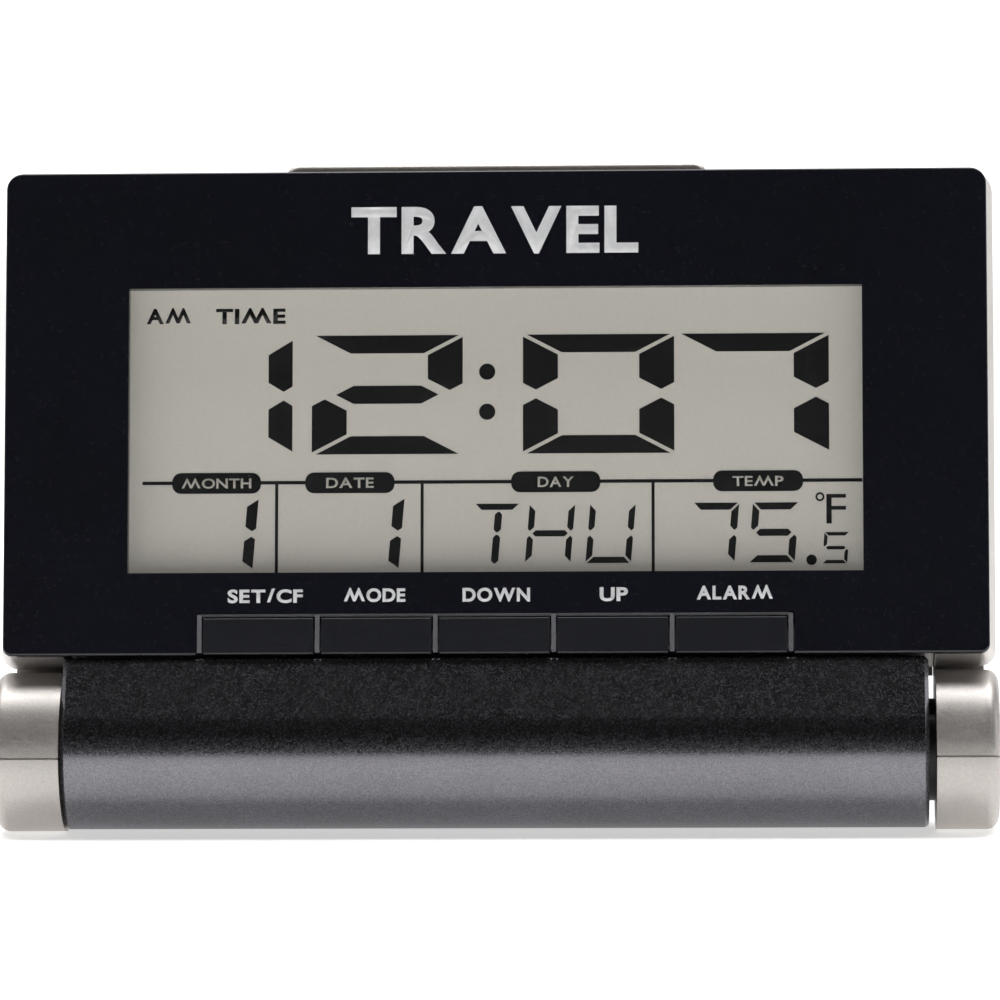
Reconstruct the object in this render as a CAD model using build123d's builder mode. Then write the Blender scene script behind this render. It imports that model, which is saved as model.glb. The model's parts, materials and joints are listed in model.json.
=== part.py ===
"""Travel alarm clock: a leaning LCD head on two drum feet, with a flip cover that folds back as a stand.

Millimetres, +Z up, +X to the right of someone who reads the clock, origin on the table under the middle
of the open clock. The head is drawn in its own frame (u right, v up along the panel, w out of the panel),
and the cover in another one, which turns about the same hinge axis.
"""

import os
from math import acos, asin, atan, atan2, cos, degrees, hypot, radians, sin

from build123d import *

# --- Overall sizes ---
TOTAL_WIDTH = 110.0
DRUM_RADIUS = 8.75
HEAD_LEAN = 10.0

# --- Front panel and its window ---
PANEL_INSET = 1.0
PANEL_RISE = 1.32
PANEL_HIGH = 63.6
PANEL_FACE = 6.15
PANEL_THICKNESS = 1.5
PANEL_TOP_RADIUS = 1.8
PANEL_LOW_RADIUS = 0.95
PANEL_EDGE_RADIUS = 0.3
WINDOW_WIDTH = 80.6
WINDOW_LOW = 19.15
WINDOW_HIGH = 50.65
WINDOW_FLANGE = 1.3
WINDOW_FLANGE_THICKNESS = 0.5

# --- Housing ---
WALL = 1.5
FLARE = 0.85
PARTING = -0.85
REAR_FACE = -8.75
REAR_INSET = 0.65
REAR_EDGE_RADIUS = 1.2
STOP_DEPTH = 0.6
LEFT_DRUM_WIDTH = 7.5
RIGHT_DRUM_WIDTH = 6.9
DRUM_EDGE_RADIUS = 1.4
DRUM_SEAM = -1.3
SEAM_CHAMFER = 0.2
NECK_FRONT = -3.7

# --- Cover and hinge ---
COVER_OFFSET = 9.4
COVER_THICKNESS = 2.4
COVER_LENGTH = 64.0
COVER_GAP = 0.15
COLLAR_GAP = 0.8
SPINE_FRONT = 6.5
SPINE_CORNER_RADIUS = 0.6
COVER_EDGE = 0.45
COVER_END_RADIUS = 4.0
SPINE_BORE = 5.4
PLUG_DEPTH = 6.0
COLLAR_RADIUS = 5.6
PIN_RADIUS = 2.0
PIN_DEPTH = 4.0
FOOT_HEIGHT = 0.5
FOOT_WIDTH = 8.0
FOOT_DEPTH = 3.0
FOOT_SPACING = 76.0
FOOT_BITE = 1.0
FOOT_INSET = 0.9

# --- Keys ---
KEY_NAMES = ("set_key", "mode_key", "down_key", "up_key", "alarm_key")
KEY_PITCH = 12.94
KEY_TRAVEL = 0.65
KEY_PROUD = 0.15
KEY_PLATE = 0.9
KEY_TOP = 14.15
KEY_RIB = 0.5
KEY_EDGE_RADIUS = 0.2
KEY_LEVEL = 15.1
NOTCH_TOP = 14.7
KEY_WINDOW_LOW = 12.9
KEY_FLANGE_DROP = 1.2
KEY_FLANGE_THICKNESS = 0.75
KEY_LOW_GAP = 0.1
KEY_STEM_HALF_WIDTH = 1.5
KEY_STEM_HALF_HEIGHT = 1.0
COMB_LOW_GAP = 0.3
COMB_BAR_DROP = 0.3
PAD_THICKNESS = 0.6
DOME_RADIUS = 1.1
DOME_TOP = 1.85

# --- Snooze bar ---
SNOOZE_WIDTH = 46.8
SNOOZE_TOP = 65.0
SNOOZE_DEPTH = 8.1
SNOOZE_FRONT = 2.6
SNOOZE_HEIGHT = 4.6
SNOOZE_TRAVEL = 0.8
SNOOZE_CORNER_RADIUS = 1.6
SNOOZE_EDGE_RADIUS = 0.6
SNOOZE_LIP = 1.2

# --- Display stack ---
GLASS_THICKNESS = 1.2
GLASS_WIDTH = 88.0
GLASS_LOW = 17.6
GLASS_HIGH = 53.4
FILM_THICKNESS = 0.2
GUIDE_THICKNESS = 1.55
FRAME_RIM = 1.9
GUIDE_INSET = 2.5

# --- Circuit board ---
BOARD_WIDTH = 92.6
BOARD_LOW = 14.0
BOARD_HIGH = 56.0
BOARD_THICKNESS = 1.2
BLOB_V = 42.0
BLOB_RADIUS = 5.0
BLOB_HEIGHT = 1.3
BLOB_EDGE_RADIUS = 1.04
CRYSTAL_V = 28.0
CRYSTAL_LENGTH = 8.0
CRYSTAL_RADIUS = 1.5
SENSOR_U = -43.0
SENSOR_V = 22.0
SENSOR_RADIUS = 1.2
SENSOR_HEIGHT = 2.2
CHIP_PLACES = ((-4.0, 20.0), (4.0, 20.0), (38.0, 20.0), (38.0, 48.0))
CHIP_HALF_LENGTH = 1.6
CHIP_HALF_WIDTH = 0.8
CHIP_HEIGHT = 0.8
SWITCH_HALF_WIDTH = 3.0
SWITCH_DEPTH = 3.0
SWITCH_OVERLAP = 4.0
SWITCH_BUTTON_HALF_WIDTH = 1.5
SWITCH_BUTTON_LENGTH = 2.0
SWITCH_BUTTON_INSET = 0.8

# --- Cell, door and sounder ---
CELL_RADIUS = 10.0
CELL_THICKNESS = 3.2
CELL_U = 22.0
CELL_V = 33.0
DOOR_RADIUS = 12.0
DOOR_THICKNESS = 1.2
DOOR_SLOT_HALF_LENGTH = 5.0
DOOR_SLOT_HALF_WIDTH = 0.8
CELL_EDGE_RADIUS = 0.5
CONTACT_SPACE = 0.35
CONTACT_HALF_LENGTH = 5.0
CONTACT_HALF_WIDTH = 2.0
WELL_WALL = 1.5
SOUNDER_RADIUS = 10.0
SOUNDER_THICKNESS = 0.6
GRILLE_SLOTS = 5
GRILLE_PITCH = 3.0
GRILLE_SLOT_WIDTH = 1.2

# --- Screws ---
SCREW_RADIUS = 0.9
SCREW_HEAD_RADIUS = 1.7
SCREW_HEAD_HEIGHT = 1.1
SCREW_SLOT_REACH = 0.7
SCREW_SLOT_HALF = 0.2
BOSS_RADIUS = 2.2
BOSS_INSET = 4.7
CAP_SCREW_LENGTH = 7.0
CAP_SCREW_W = -4.9
CAP_SCREW_HEAD_DROP = 3.2

# --- Clearances ---
RUNNING = 0.05
SLIDING = 0.15
SEAT = 0.02
SWEEP_CLEARANCE = 0.25
STOP_CLEARANCE = 0.04

# --- Worked out from the sizes above ---
HALF = TOTAL_WIDTH / 2
PANEL_WIDTH = TOTAL_WIDTH - 2 * PANEL_INSET
PANEL_LOW = DRUM_RADIUS + PANEL_RISE
DRUM_WIDTHS = {-1: LEFT_DRUM_WIDTH, 1: RIGHT_DRUM_WIDTH}
DRUM_INNER = {side: HALF - width for side, width in DRUM_WIDTHS.items()}
COVER_LEFT = -DRUM_INNER[-1] + COVER_GAP
COVER_RIGHT = DRUM_INNER[1] - COLLAR_GAP
COVER_END = {-1: -COVER_LEFT, 1: COVER_RIGHT}
COVER_INNER = COVER_OFFSET - COVER_THICKNESS
PIN_END = {side: inner + PIN_DEPTH for side, inner in DRUM_INNER.items()}
CAP_SCREW_U = {side: HALF - width / 2 for side, width in DRUM_WIDTHS.items()}
PANEL_BACK = PANEL_FACE - PANEL_THICKNESS
WALL_BACK = PANEL_BACK - WALL
CAVITY_HALF = PANEL_WIDTH / 2 - WALL
CAVITY_HIGH = PANEL_HIGH - WALL
REAR_WALL = REAR_FACE + WALL

# The far end of the cover rests on its foot pads; that sets the cover's slope.
COVER_REACH = hypot(COVER_LENGTH, COVER_INNER)
COVER_SLOPE = degrees(
    asin((DRUM_RADIUS - FOOT_HEIGHT + FOOT_BITE) / COVER_REACH) + atan(COVER_INNER / COVER_LENGTH)
)
COVER_OPENING = 270.0 - COVER_SLOPE + HEAD_LEAN

# The corner of the spine sweeps this radius as the cover turns under the head. Its front wall runs from
# that corner to the barrel and meets it as a tangent.
CORNER_SWEEP = hypot(COVER_OFFSET, SPINE_FRONT)
SPINE_TANGENT = atan2(-SPINE_FRONT, COVER_OFFSET) - acos(DRUM_RADIUS / CORNER_SWEEP)
SCOOP_RADIUS = CORNER_SWEEP + SWEEP_CLEARANCE
SCOOP_LEFT = -DRUM_INNER[-1] + RUNNING
SCOOP_RIGHT = DRUM_INNER[1] - RUNNING
CAVITY_LOW = SCOOP_RADIUS + WALL

SLOPE = radians(COVER_SLOPE)
LEAN = radians(HEAD_LEAN)
BACK_REACH = COVER_LENGTH * cos(SLOPE) + COVER_OFFSET * sin(SLOPE)
AXIS_Y = -(BACK_REACH - DRUM_RADIUS) / 2
AXIS_Z = DRUM_RADIUS

AXIS_POINT = (0, AXIS_Y, AXIS_Z)
HEAD_OUT = (0, -cos(LEAN), sin(LEAN))
HEAD = Plane(origin=AXIS_POINT, x_dir=(1, 0, 0), z_dir=HEAD_OUT)
HEAD_SIDE = Plane(origin=AXIS_POINT, x_dir=HEAD_OUT, z_dir=(-1, 0, 0))
HEAD_NORMAL = Axis(AXIS_POINT, HEAD_OUT)
HEAD_LEVEL = Plane(origin=AXIS_POINT, x_dir=(1, 0, 0), z_dir=(0, sin(LEAN), cos(LEAN)))
COVER_OUT = (0, sin(SLOPE), cos(SLOPE))
COVER_SIDE = Plane(origin=AXIS_POINT, x_dir=COVER_OUT, z_dir=(-1, 0, 0))
TABLE = Plane.XY

os.makedirs("parts", exist_ok=True)


def save(piece, name):
    """Label a finished piece and write it as one STEP file."""
    piece.part.label = name
    export_step(piece.part, f"parts/{name}.step")


def slab(u0, u1, v0, v1, w0, w1, mode=Mode.ADD):
    """A block of the head, between two corners given as u, v and w."""
    with BuildSketch(HEAD.offset(w0)) as profile:
        with Locations(((u0 + u1) / 2, (v0 + v1) / 2)):
            Rectangle(u1 - u0, v1 - v0)
    extrude(profile.sketch, amount=w1 - w0, mode=mode)


def round_bar(u, v, radius, w0, w1, mode=Mode.ADD):
    """A round bar of the head along w, from w0 to w1."""
    with BuildSketch(HEAD.offset(w0)) as profile:
        with Locations((u, v)):
            Circle(radius)
    extrude(profile.sketch, amount=w1 - w0, mode=mode)


def axle(radius, u0, u1, mode=Mode.ADD):
    """A round bar on the hinge axis, from u0 to u1."""
    with BuildSketch(HEAD_SIDE.offset(-u0)) as profile:
        Circle(radius)
    extrude(profile.sketch, amount=-(u1 - u0), mode=mode)


def upright(u, radius, v0, v1, mode=Mode.ADD):
    """A round bar of the head along v, in the middle of a drum's neck."""
    with BuildSketch(HEAD_LEVEL.offset(v0)) as profile:
        with Locations((u, -CAP_SCREW_W)):
            Circle(radius)
    extrude(profile.sketch, amount=v1 - v0, mode=mode)


def half_drum(side, upper):
    """One half of a foot drum, rounded at its outer edge; side is -1 on the left and 1 on the right."""
    with BuildPart(mode=Mode.PRIVATE) as drum:
        with BuildSketch(HEAD_SIDE.offset(-side * DRUM_INNER[side])) as profile:
            Circle(DRUM_RADIUS)
        extrude(profile.sketch, amount=-side * DRUM_WIDTHS[side])
        rim = drum.edges().filter_by(GeomType.CIRCLE).sort_by(Axis.X)[0 if side < 0 else -1]
        fillet(rim, DRUM_EDGE_RADIUS)
        cut_level = DRUM_SEAM if upper else DRUM_SEAM - SEAT
        split(bisect_by=HEAD_LEVEL.offset(cut_level), keep=Keep.TOP if upper else Keep.BOTTOM)
        if not upper:
            seam_face = drum.faces().sort_by(Axis(AXIS_POINT, HEAD_LEVEL.z_dir))[-1]
            chamfer(seam_face.outer_wire().edges(), SEAM_CHAMFER)
    return drum.part


def scoop():
    """Cut the hollow under the head that the corner of the cover's spine turns in."""
    axle(SCOOP_RADIUS, SCOOP_LEFT, SCOOP_RIGHT, Mode.SUBTRACT)


def outline(w, grow=0.0):
    """The panel's outline, grown on all sides, as a sketch on the plane at w."""
    with BuildSketch(HEAD.offset(w)) as profile:
        with Locations((0, (PANEL_LOW + PANEL_HIGH) / 2)):
            frame = Rectangle(PANEL_WIDTH + 2 * grow, PANEL_HIGH - PANEL_LOW + 2 * grow)
        corners = frame.vertices().group_by(Axis.Y)
        fillet(corners[-1], PANEL_TOP_RADIUS + grow)
        fillet(profile.vertices().group_by(Axis.Y)[0], PANEL_LOW_RADIUS + grow)
    return profile.sketch


def boss_places():
    """Where the four housing screws stand, as u and v."""
    across = PANEL_WIDTH / 2 - BOSS_INSET
    low = CAVITY_LOW + BOSS_RADIUS + SLIDING
    high = PANEL_HIGH - BOSS_INSET
    return [(u, v) for u in (-across, across) for v in (low, high)]


def window_opening(grow, w0, w1, mode):
    """The window's rectangle, grown on all sides, between w0 and w1."""
    half = WINDOW_WIDTH / 2 + grow
    slab(-half, half, WINDOW_LOW - grow, WINDOW_HIGH + grow, w0, w1, mode)


KEY_BANK_HALF = len(KEY_NAMES) * KEY_PITCH / 2
NOTCH_HALF = KEY_BANK_HALF + KEY_RIB / 2 + SLIDING
KEY_FLANGE_TOP = WINDOW_LOW - WINDOW_FLANGE - 2 * SLIDING - KEY_FLANGE_DROP
KEY_WINDOW_HIGH = KEY_FLANGE_TOP + SLIDING
SNOOZE_BACK = SNOOZE_FRONT - SNOOZE_DEPTH

# --- Front panel: the dark bezel with the display window and the notch for the keys ---
with BuildPart() as front_panel:
    extrude(outline(PANEL_BACK), amount=PANEL_THICKNESS)
    fillet(front_panel.faces().sort_by(HEAD_NORMAL)[-1].edges(), PANEL_EDGE_RADIUS)
    window_opening(0, PANEL_BACK, PANEL_FACE, Mode.SUBTRACT)
    slab(-NOTCH_HALF, NOTCH_HALF, 0, NOTCH_TOP, PANEL_BACK, PANEL_FACE, Mode.SUBTRACT)
    scoop()
save(front_panel, "front_panel")

# --- Display window: a clear pane with a thin flange behind the panel ---
with BuildPart() as display_window:
    window_opening(-RUNNING, PANEL_BACK - SEAT, PANEL_FACE, Mode.ADD)
    window_opening(WINDOW_FLANGE, PANEL_BACK - WINDOW_FLANGE_THICKNESS - SEAT, PANEL_BACK - SEAT, Mode.ADD)
save(display_window, "display_window")

# --- Front housing: the wall behind the panel and the front half of the silver rim ---
with BuildPart() as front_housing:
    front_taper = degrees(atan(FLARE / (PANEL_BACK - PARTING)))
    extrude(outline(PARTING, FLARE), amount=PANEL_BACK - PARTING, taper=front_taper)
    slab(-CAVITY_HALF, CAVITY_HALF, CAVITY_LOW, CAVITY_HIGH, PARTING, WALL_BACK, Mode.SUBTRACT)
    window_opening(WINDOW_FLANGE + SLIDING, WALL_BACK, PANEL_BACK, Mode.SUBTRACT)
    slab(-NOTCH_HALF, NOTCH_HALF, KEY_WINDOW_LOW, KEY_WINDOW_HIGH, PARTING, PANEL_BACK, Mode.SUBTRACT)
    snooze_slot_half = SNOOZE_WIDTH / 2 + SLIDING
    slab(
        -snooze_slot_half, snooze_slot_half, CAVITY_HIGH - WALL, PANEL_HIGH + 2 * FLARE,
        PARTING, SNOOZE_FRONT + SLIDING, Mode.SUBTRACT,
    )
    for u, v in boss_places():
        round_bar(u, v, BOSS_RADIUS, PARTING, WALL_BACK)
        round_bar(u, v, SCREW_RADIUS, PARTING, WALL_BACK, Mode.SUBTRACT)
    scoop()
save(front_housing, "front_housing")

# --- Rear housing: the back shell, the necks, the upper halves of the drums and the cell well ---
WELL_FLOOR = REAR_FACE + DOOR_THICKNESS + SLIDING + CELL_THICKNESS + CONTACT_SPACE
WELL_BORE = CELL_RADIUS + 2 * SLIDING
DOOR_SEAT = REAR_FACE + DOOR_THICKNESS + SEAT


def cover_plane_level(w):
    """The v of the open cover's outer face, at w."""
    turn = radians(COVER_OPENING)
    return (w * cos(turn) - COVER_OFFSET) / sin(turn)


with BuildPart() as rear_housing:
    rear_depth = PARTING - SEAT - REAR_FACE
    extrude(outline(PARTING - SEAT, FLARE), amount=-rear_depth, taper=degrees(atan(REAR_INSET / rear_depth)))
    fillet(faces().sort_by(HEAD_NORMAL)[0].edges(), REAR_EDGE_RADIUS)
    slab(-CAVITY_HALF, CAVITY_HALF, CAVITY_LOW, CAVITY_HIGH, REAR_WALL, PARTING, Mode.SUBTRACT)
    slab(
        -snooze_slot_half, snooze_slot_half, CAVITY_HIGH - WALL, PANEL_HIGH + 2 * FLARE,
        SNOOZE_BACK - SLIDING, PARTING, Mode.SUBTRACT,
    )
    for side in (-1, 1):
        add(half_drum(side, upper=True))
        slab(
            *sorted((side * DRUM_INNER[side], side * (HALF - DRUM_EDGE_RADIUS))),
            0, PANEL_LOW + WALL, REAR_FACE, NECK_FRONT,
        )
        axle(PIN_RADIUS + RUNNING, *sorted((side * DRUM_INNER[side], side * PIN_END[side])), Mode.SUBTRACT)
        upright(
            side * CAP_SCREW_U[side], SCREW_RADIUS,
            DRUM_SEAM, DRUM_SEAM + CAP_SCREW_LENGTH / 2, Mode.SUBTRACT,
        )
    for u, v in boss_places():
        round_bar(u, v, BOSS_RADIUS, REAR_WALL, PARTING - SEAT)
        round_bar(u, v, SCREW_RADIUS + RUNNING, REAR_FACE, PARTING, Mode.SUBTRACT)
        round_bar(
            u, v, SCREW_HEAD_RADIUS + SLIDING, REAR_FACE, REAR_FACE + 2 * SCREW_HEAD_HEIGHT, Mode.SUBTRACT
        )
    stop_low = cover_plane_level(REAR_FACE + STOP_DEPTH) + STOP_CLEARANCE
    slab(SCOOP_LEFT, SCOOP_RIGHT, stop_low, PANEL_LOW + WALL, REAR_FACE, REAR_FACE + STOP_DEPTH)
    scoop()
    round_bar(CELL_U, CELL_V, WELL_BORE + WELL_WALL, REAR_WALL, WELL_FLOOR + WALL)
    round_bar(CELL_U, CELL_V, WELL_BORE, REAR_FACE, WELL_FLOOR, Mode.SUBTRACT)
    round_bar(CELL_U, CELL_V, DOOR_RADIUS + SLIDING, REAR_FACE, DOOR_SEAT, Mode.SUBTRACT)
    round_bar(-CELL_U, CELL_V, SOUNDER_RADIUS + WELL_WALL, REAR_WALL, REAR_WALL + WALL + SOUNDER_THICKNESS)
    round_bar(-CELL_U, CELL_V, SOUNDER_RADIUS - WALL, REAR_WALL, REAR_WALL + 2 * WALL, Mode.SUBTRACT)
    round_bar(
        -CELL_U, CELL_V, SOUNDER_RADIUS + RUNNING, REAR_WALL + WALL, REAR_WALL + 2 * WALL, Mode.SUBTRACT
    )
    with BuildSketch(HEAD.offset(REAR_FACE)):
        with Locations((-CELL_U, CELL_V)):
            with GridLocations(0, GRILLE_PITCH, 1, GRILLE_SLOTS):
                SlotOverall(SOUNDER_RADIUS, GRILLE_SLOT_WIDTH)
    extrude(amount=WALL, mode=Mode.SUBTRACT)
save(rear_housing, "rear_housing")

# --- Lower halves of the drums, and the screw that holds each one ---
CAP_SCREW_HEAD_V = DRUM_SEAM - CAP_SCREW_HEAD_DROP
for side, name in ((-1, "left"), (1, "right")):
    with BuildPart() as drum_cap:
        add(half_drum(side, upper=False))
        axle(PIN_RADIUS + RUNNING, *sorted((side * DRUM_INNER[side], side * PIN_END[side])), Mode.SUBTRACT)
        upright(side * CAP_SCREW_U[side], SCREW_RADIUS + RUNNING, -DRUM_RADIUS, DRUM_SEAM, Mode.SUBTRACT)
        upright(
            side * CAP_SCREW_U[side], SCREW_HEAD_RADIUS + RUNNING, -DRUM_RADIUS,
            CAP_SCREW_HEAD_V + SCREW_HEAD_HEIGHT, Mode.SUBTRACT,
        )
    save(drum_cap, f"{name}_drum_cap")

    with BuildPart() as cap_screw:
        upright(
            side * CAP_SCREW_U[side], SCREW_RADIUS - SEAT, CAP_SCREW_HEAD_V,
            DRUM_SEAM + CAP_SCREW_LENGTH / 2 - RUNNING,
        )
        upright(
            side * CAP_SCREW_U[side], SCREW_HEAD_RADIUS,
            CAP_SCREW_HEAD_V, CAP_SCREW_HEAD_V + SCREW_HEAD_HEIGHT,
        )
    save(cap_screw, f"{name}_cap_screw")

# --- Four screws that close the housing from behind ---
for number, (u, v) in enumerate(boss_places(), start=1):
    with BuildPart() as housing_screw:
        head_w = REAR_FACE + 2 * SCREW_HEAD_HEIGHT
        round_bar(u, v, SCREW_HEAD_RADIUS, head_w - SCREW_HEAD_HEIGHT, head_w)
        round_bar(u, v, SCREW_RADIUS - SEAT, head_w - SCREW_HEAD_HEIGHT, WALL_BACK - RUNNING)
        slab(
            u - SCREW_HEAD_RADIUS * SCREW_SLOT_REACH, u + SCREW_HEAD_RADIUS * SCREW_SLOT_REACH,
            v - SCREW_SLOT_HALF, v + SCREW_SLOT_HALF,
            head_w - SCREW_HEAD_HEIGHT, head_w - SCREW_HEAD_HEIGHT / 2, Mode.SUBTRACT,
        )
    save(housing_screw, f"housing_screw_{number}")

# --- Display stack, from the front: polarising film, LCD glass, light guide, and the frame round them ---
GLASS_FRONT = WALL_BACK - RUNNING
GLASS_BACK = GLASS_FRONT - GLASS_THICKNESS
GLASS_HALF = GLASS_WIDTH / 2
GUIDE_HALF = GLASS_HALF - GUIDE_INSET

with BuildPart() as lcd_polariser:
    window_opening(WINDOW_FLANGE, GLASS_FRONT + SEAT, GLASS_FRONT + SEAT + FILM_THICKNESS, Mode.ADD)
save(lcd_polariser, "lcd_polariser")

with BuildPart() as lcd_glass:
    slab(-GLASS_HALF, GLASS_HALF, GLASS_LOW, GLASS_HIGH, GLASS_BACK, GLASS_FRONT)
save(lcd_glass, "lcd_glass")

with BuildPart() as light_guide:
    guide_front = GLASS_BACK - SEAT
    slab(
        -GUIDE_HALF, GUIDE_HALF, GLASS_LOW + WALL / 2, WINDOW_HIGH,
        guide_front - GUIDE_THICKNESS, guide_front,
    )
save(light_guide, "light_guide")

with BuildPart() as backlight_led:
    slab(
        -GLASS_HALF + RUNNING, -GUIDE_HALF - SLIDING, CELL_V - WALL, CELL_V + WALL,
        SEAT, GLASS_BACK - SLIDING,
    )
save(backlight_led, "backlight_led")

with BuildPart() as zebra_connector:
    slab(-GUIDE_HALF, GUIDE_HALF, WINDOW_HIGH + WALL / 3, GLASS_HIGH - WALL / 3, SEAT, GLASS_BACK - SEAT)
save(zebra_connector, "zebra_connector")

with BuildPart() as lcd_frame:
    rim = FRAME_RIM
    inner = GLASS_HALF + RUNNING
    frame_low = GLASS_LOW - FRAME_RIM / 2 + RUNNING
    slab(-inner - rim, inner + rim, frame_low, GLASS_HIGH + FRAME_RIM / 2, SEAT, GLASS_FRONT)
    slab(-inner, inner, GLASS_LOW - RUNNING, GLASS_HIGH + RUNNING, SEAT, GLASS_FRONT, Mode.SUBTRACT)
save(lcd_frame, "lcd_frame")

# --- Circuit board and the parts on its back ---
BOARD_BACK = -BOARD_THICKNESS
with BuildPart() as circuit_board:
    slab(-BOARD_WIDTH / 2, BOARD_WIDTH / 2, BOARD_LOW, BOARD_HIGH, BOARD_BACK, 0)
save(circuit_board, "circuit_board")

COMPONENT_TOP = BOARD_BACK - SEAT
with BuildPart() as controller_blob:
    round_bar(0, BLOB_V, BLOB_RADIUS, COMPONENT_TOP - BLOB_HEIGHT, COMPONENT_TOP)
    fillet(controller_blob.faces().sort_by(HEAD_NORMAL)[0].edges(), BLOB_EDGE_RADIUS)
save(controller_blob, "controller_blob")

with BuildPart() as quartz_crystal:
    with BuildSketch(HEAD_SIDE.offset(-CRYSTAL_LENGTH / 2)) as can_end:
        with Locations((COMPONENT_TOP - CRYSTAL_RADIUS, CRYSTAL_V)):
            Circle(CRYSTAL_RADIUS)
    extrude(can_end.sketch, amount=CRYSTAL_LENGTH)
save(quartz_crystal, "quartz_crystal")

with BuildPart() as temperature_sensor:
    round_bar(SENSOR_U, SENSOR_V, SENSOR_RADIUS, COMPONENT_TOP - SENSOR_HEIGHT, COMPONENT_TOP)
save(temperature_sensor, "temperature_sensor")

with BuildPart() as chip_components:
    for u, v in CHIP_PLACES:
        slab(
            u - CHIP_HALF_LENGTH, u + CHIP_HALF_LENGTH, v - CHIP_HALF_WIDTH, v + CHIP_HALF_WIDTH,
            COMPONENT_TOP - CHIP_HEIGHT, COMPONENT_TOP,
        )
save(chip_components, "chip_components")

SNOOZE_LOW = SNOOZE_TOP - SNOOZE_HEIGHT
with BuildPart() as snooze_switch:
    switch_top = SNOOZE_LOW - SWITCH_BUTTON_LENGTH
    slab(
        -SWITCH_HALF_WIDTH, SWITCH_HALF_WIDTH, BOARD_HIGH - SWITCH_OVERLAP, switch_top,
        COMPONENT_TOP - SWITCH_DEPTH, COMPONENT_TOP,
    )
    slab(
        -SWITCH_BUTTON_HALF_WIDTH, SWITCH_BUTTON_HALF_WIDTH, switch_top, SNOOZE_LOW - SNOOZE_TRAVEL - RUNNING,
        COMPONENT_TOP - SWITCH_DEPTH + SWITCH_BUTTON_INSET, COMPONENT_TOP - SWITCH_BUTTON_INSET,
    )
save(snooze_switch, "snooze_switch")

# --- Snooze bar: a long key in the top wall, with a lip that keeps it in ---
with BuildPart() as snooze_bar:
    half = SNOOZE_WIDTH / 2
    slab(-half, half, SNOOZE_LOW, SNOOZE_TOP, SNOOZE_BACK, SNOOZE_FRONT)
    top_corners = snooze_bar.edges().filter_by(HEAD_NORMAL).group_by(Axis(AXIS_POINT, HEAD_LEVEL.z_dir))[-1]
    fillet(top_corners, SNOOZE_CORNER_RADIUS)
    top = snooze_bar.faces().sort_by(Axis(AXIS_POINT, HEAD_LEVEL.z_dir))[-1]
    fillet(top.edges().filter_by(Axis.X), SNOOZE_EDGE_RADIUS)
    lip_top = CAVITY_HIGH - SLIDING
    slab(
        -half - SNOOZE_LIP, half + SNOOZE_LIP, SNOOZE_LOW, lip_top,
        SNOOZE_BACK + SLIDING, SNOOZE_FRONT - SLIDING,
    )
save(snooze_bar, "snooze_bar")

# --- Keys: a cap in the panel's notch, a flange behind the panel and a stem towards the rubber pad ---
STEM_BACK = DOME_TOP + KEY_TRAVEL + RUNNING
KEY_HALF = (KEY_PITCH - KEY_RIB) / 2 - SLIDING
FLANGE_FRONT = PANEL_BACK - SLIDING
FLANGE_BACK = FLANGE_FRONT - KEY_FLANGE_THICKNESS


def key_u(index):
    """The u of a key's middle, counted from the left."""
    return (index - (len(KEY_NAMES) - 1) / 2) * KEY_PITCH


for index, name in enumerate(KEY_NAMES):
    u = key_u(index)
    with BuildPart() as key:
        key_face = PANEL_FACE + KEY_PROUD
        slab(u - KEY_HALF, u + KEY_HALF, PANEL_LOW + KEY_LOW_GAP, KEY_TOP, key_face - KEY_PLATE, key_face)
        fillet(key.faces().sort_by(HEAD_NORMAL)[-1].edges(), KEY_EDGE_RADIUS)
        slab(u - KEY_HALF, u + KEY_HALF, KEY_WINDOW_LOW + SLIDING, KEY_TOP, FLANGE_BACK, key_face - KEY_PLATE)
        slab(
            u - KEY_HALF, u + KEY_HALF, KEY_WINDOW_LOW + SLIDING, KEY_FLANGE_TOP,
            FLANGE_BACK, FLANGE_FRONT,
        )
        slab(
            u - KEY_STEM_HALF_WIDTH, u + KEY_STEM_HALF_WIDTH,
            KEY_LEVEL - KEY_STEM_HALF_HEIGHT, KEY_LEVEL + KEY_STEM_HALF_HEIGHT, STEM_BACK, FLANGE_BACK,
        )
        scoop()
    save(key, name)

# --- Grey comb between the keys ---
with BuildPart() as key_comb:
    comb_face = PANEL_FACE - RUNNING
    for index in range(len(KEY_NAMES) + 1):
        u = key_u(index) - KEY_PITCH / 2
        slab(
            u - KEY_RIB / 2, u + KEY_RIB / 2, PANEL_LOW + COMB_LOW_GAP, NOTCH_TOP - SLIDING,
            PANEL_BACK + SEAT, comb_face,
        )
    slab(
        -KEY_BANK_HALF, KEY_BANK_HALF, KEY_TOP + SLIDING, NOTCH_TOP - SLIDING / 2,
        PANEL_BACK + SEAT, comb_face - COMB_BAR_DROP,
    )
    scoop()
save(key_comb, "key_comb")

# --- Rubber pad with a dome under each key ---
with BuildPart() as key_pad:
    slab(-KEY_BANK_HALF, KEY_BANK_HALF, BOARD_LOW, KEY_FLANGE_TOP, SEAT, SEAT + PAD_THICKNESS)
    for index in range(len(KEY_NAMES)):
        round_bar(key_u(index), KEY_LEVEL, DOME_RADIUS, SEAT, DOME_TOP)
save(key_pad, "key_pad")

# --- Cell, its two contacts and the round door over it ---
CELL_BACK = DOOR_SEAT + SLIDING
with BuildPart() as coin_cell:
    round_bar(CELL_U, CELL_V, CELL_RADIUS, CELL_BACK, CELL_BACK + CELL_THICKNESS)
    fillet(coin_cell.faces().sort_by(HEAD_NORMAL)[0].edges(), CELL_EDGE_RADIUS)
save(coin_cell, "coin_cell")

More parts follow.
